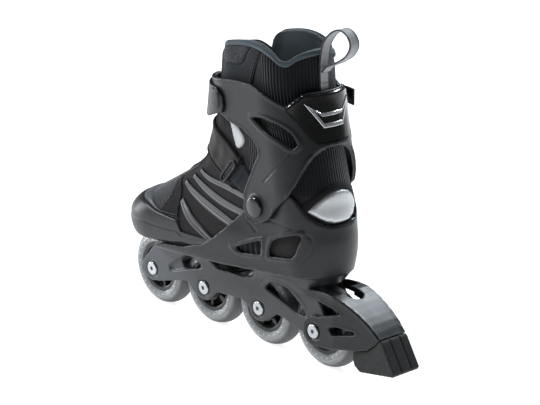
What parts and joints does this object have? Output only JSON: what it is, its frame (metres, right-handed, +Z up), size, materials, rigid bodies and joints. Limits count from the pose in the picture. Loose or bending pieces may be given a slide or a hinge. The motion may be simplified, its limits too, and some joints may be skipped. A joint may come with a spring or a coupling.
{
  "type": "inline skate",
  "caption": "Right recreational inline skate: soft boot in a moulded shell and frame, hinged cuff with ratchet strap, in-line wheels and a heel brake.",
  "frame": {"origin": "on the ground under the middle of the wheelbase, in the plane of the wheels", "axes": "+X towards the toe, +Y towards the inner side of the foot, +Z up; the wheels turn about +Y"},
  "size_m": [0.3825, 0.1134, 0.3267],
  "materials": {
    "wheel_tyre": "grey urethane, satin",
    "wheel_core": "black moulded core",
    "bearing_steel": "ground steel",
    "bolt_zinc": "bright zinc",
    "rib_silver": "dark silver film",
    "shell_plastic": "satin dark grey composite",
    "cuff_plastic": "satin charcoal",
    "pivot_plastic": "dark domed cap",
    "panel_gloss": "piano black",
    "trim_silver": "brushed silver",
    "boot_fabric": "dark synthetic fabric",
    "collar_fabric": "ribbed dark knit",
    "tongue_fabric": "heathered mesh",
    "insole_foam": "foam with cloth cover",
    "binding": "grey-teal piping",
    "rand_leather": "smooth synthetic leather",
    "strap_fabric": "brushed strap",
    "anchor_web": "dark nylon webbing",
    "ring_metal": "black lacquered wire",
    "strap_plastic": "flexible black plastic",
    "buckle_plastic": "moulded black plastic",
    "pawl_plastic": "grey plastic",
    "pin_steel": "steel",
    "loop_webbing": "grey reflective webbing with black edges",
    "brake_plastic": "satin charcoal",
    "brake_rubber": "black rubber"
  },
  "bodies": {
    "chassis": {"bearing_spacer_1": "bearing_steel", "axle_bolt_1": "bolt_zinc", "vamp_rib_1": "rib_silver", "bearing_spacer_2": "bearing_steel", "axle_bolt_2": "bolt_zinc", "vamp_rib_2": "rib_silver", "bearing_spacer_3": "bearing_steel", "axle_bolt_3": "bolt_zinc", "vamp_rib_3": "rib_silver", "bearing_spacer_4": "bearing_steel", "axle_bolt_4": "bolt_zinc", "vamp_rib_4": "rib_silver", "axle_nuts": "bolt_zinc", "brake_screw": "bolt_zinc", "shell_frame": "shell_plastic", "pivot_rivet_inner": "pivot_plastic", "pivot_rivet_outer": "pivot_plastic", "heel_badge": "trim_silver", "boot_upper": "boot_fabric", "tongue": "tongue_fabric", "insole": "insole_foam", "toe_rand": "rand_leather", "instep_strap": "strap_fabric", "strap_anchor": "anchor_web", "strap_ring": "ring_metal", "brake_arm": "brake_plastic", "brake_pad": "brake_rubber"},
    "wheel_1": {"tyre_1": "wheel_tyre", "wheel_hub_1": "wheel_core", "bearings_1": "bearing_steel"},
    "wheel_2": {"tyre_2": "wheel_tyre", "wheel_hub_2": "wheel_core", "bearings_2": "bearing_steel"},
    "wheel_3": {"tyre_3": "wheel_tyre", "wheel_hub_3": "wheel_core", "bearings_3": "bearing_steel"},
    "wheel_4": {"tyre_4": "wheel_tyre", "wheel_hub_4": "wheel_core", "bearings_4": "bearing_steel"},
    "cuff_body": {"cuff": "cuff_plastic", "back_panel": "panel_gloss", "chevron_trim": "trim_silver", "collar": "collar_fabric", "collar_binding": "binding", "pull_loop": "loop_webbing", "cuff_strap": "strap_plastic", "buckle_base": "buckle_plastic", "buckle_rivets": "pin_steel", "lever_pin": "pin_steel", "pawl_pin": "pin_steel"},
    "lever_body": {"buckle_lever": "buckle_plastic"},
    "pawl_body": {"release_pawl": "pawl_plastic"}
  },
  "joints": [
    {"name": "wheel_1_spin", "type": "hinge", "parent": "chassis", "child": "wheel_1", "pos_m": [0.1215, 0, 0.04], "axis": [0, 1, 0], "continuous": true},
    {"name": "wheel_2_spin", "type": "hinge", "parent": "chassis", "child": "wheel_2", "pos_m": [0.0405, 0, 0.04], "axis": [0, 1, 0], "continuous": true},
    {"name": "wheel_3_spin", "type": "hinge", "parent": "chassis", "child": "wheel_3", "pos_m": [-0.0405, 0, 0.04], "axis": [0, 1, 0], "continuous": true},
    {"name": "wheel_4_spin", "type": "hinge", "parent": "chassis", "child": "wheel_4", "pos_m": [-0.1215, 0, 0.04], "axis": [0, 1, 0], "continuous": true},
    {"name": "cuff_flex", "type": "hinge", "parent": "chassis", "child": "cuff_body", "pos_m": [-0.066, 0, 0.154], "axis": [0, 1, 0], "range_deg": [-3, 12]},
    {"name": "lever_swing", "type": "hinge", "parent": "cuff_body", "child": "lever_body", "pos_m": [-0.047, -0.0546, 0.2484], "axis": [0, 0, 1], "range_deg": [0, 100]},
    {"name": "pawl_release", "type": "hinge", "parent": "cuff_body", "child": "pawl_body", "pos_m": [-0.08, -0.0522, 0.2484], "axis": [0, 0, 1], "range_deg": [-5, 0], "stiffness_Nm_per_rad": 0.05}
  ]
}
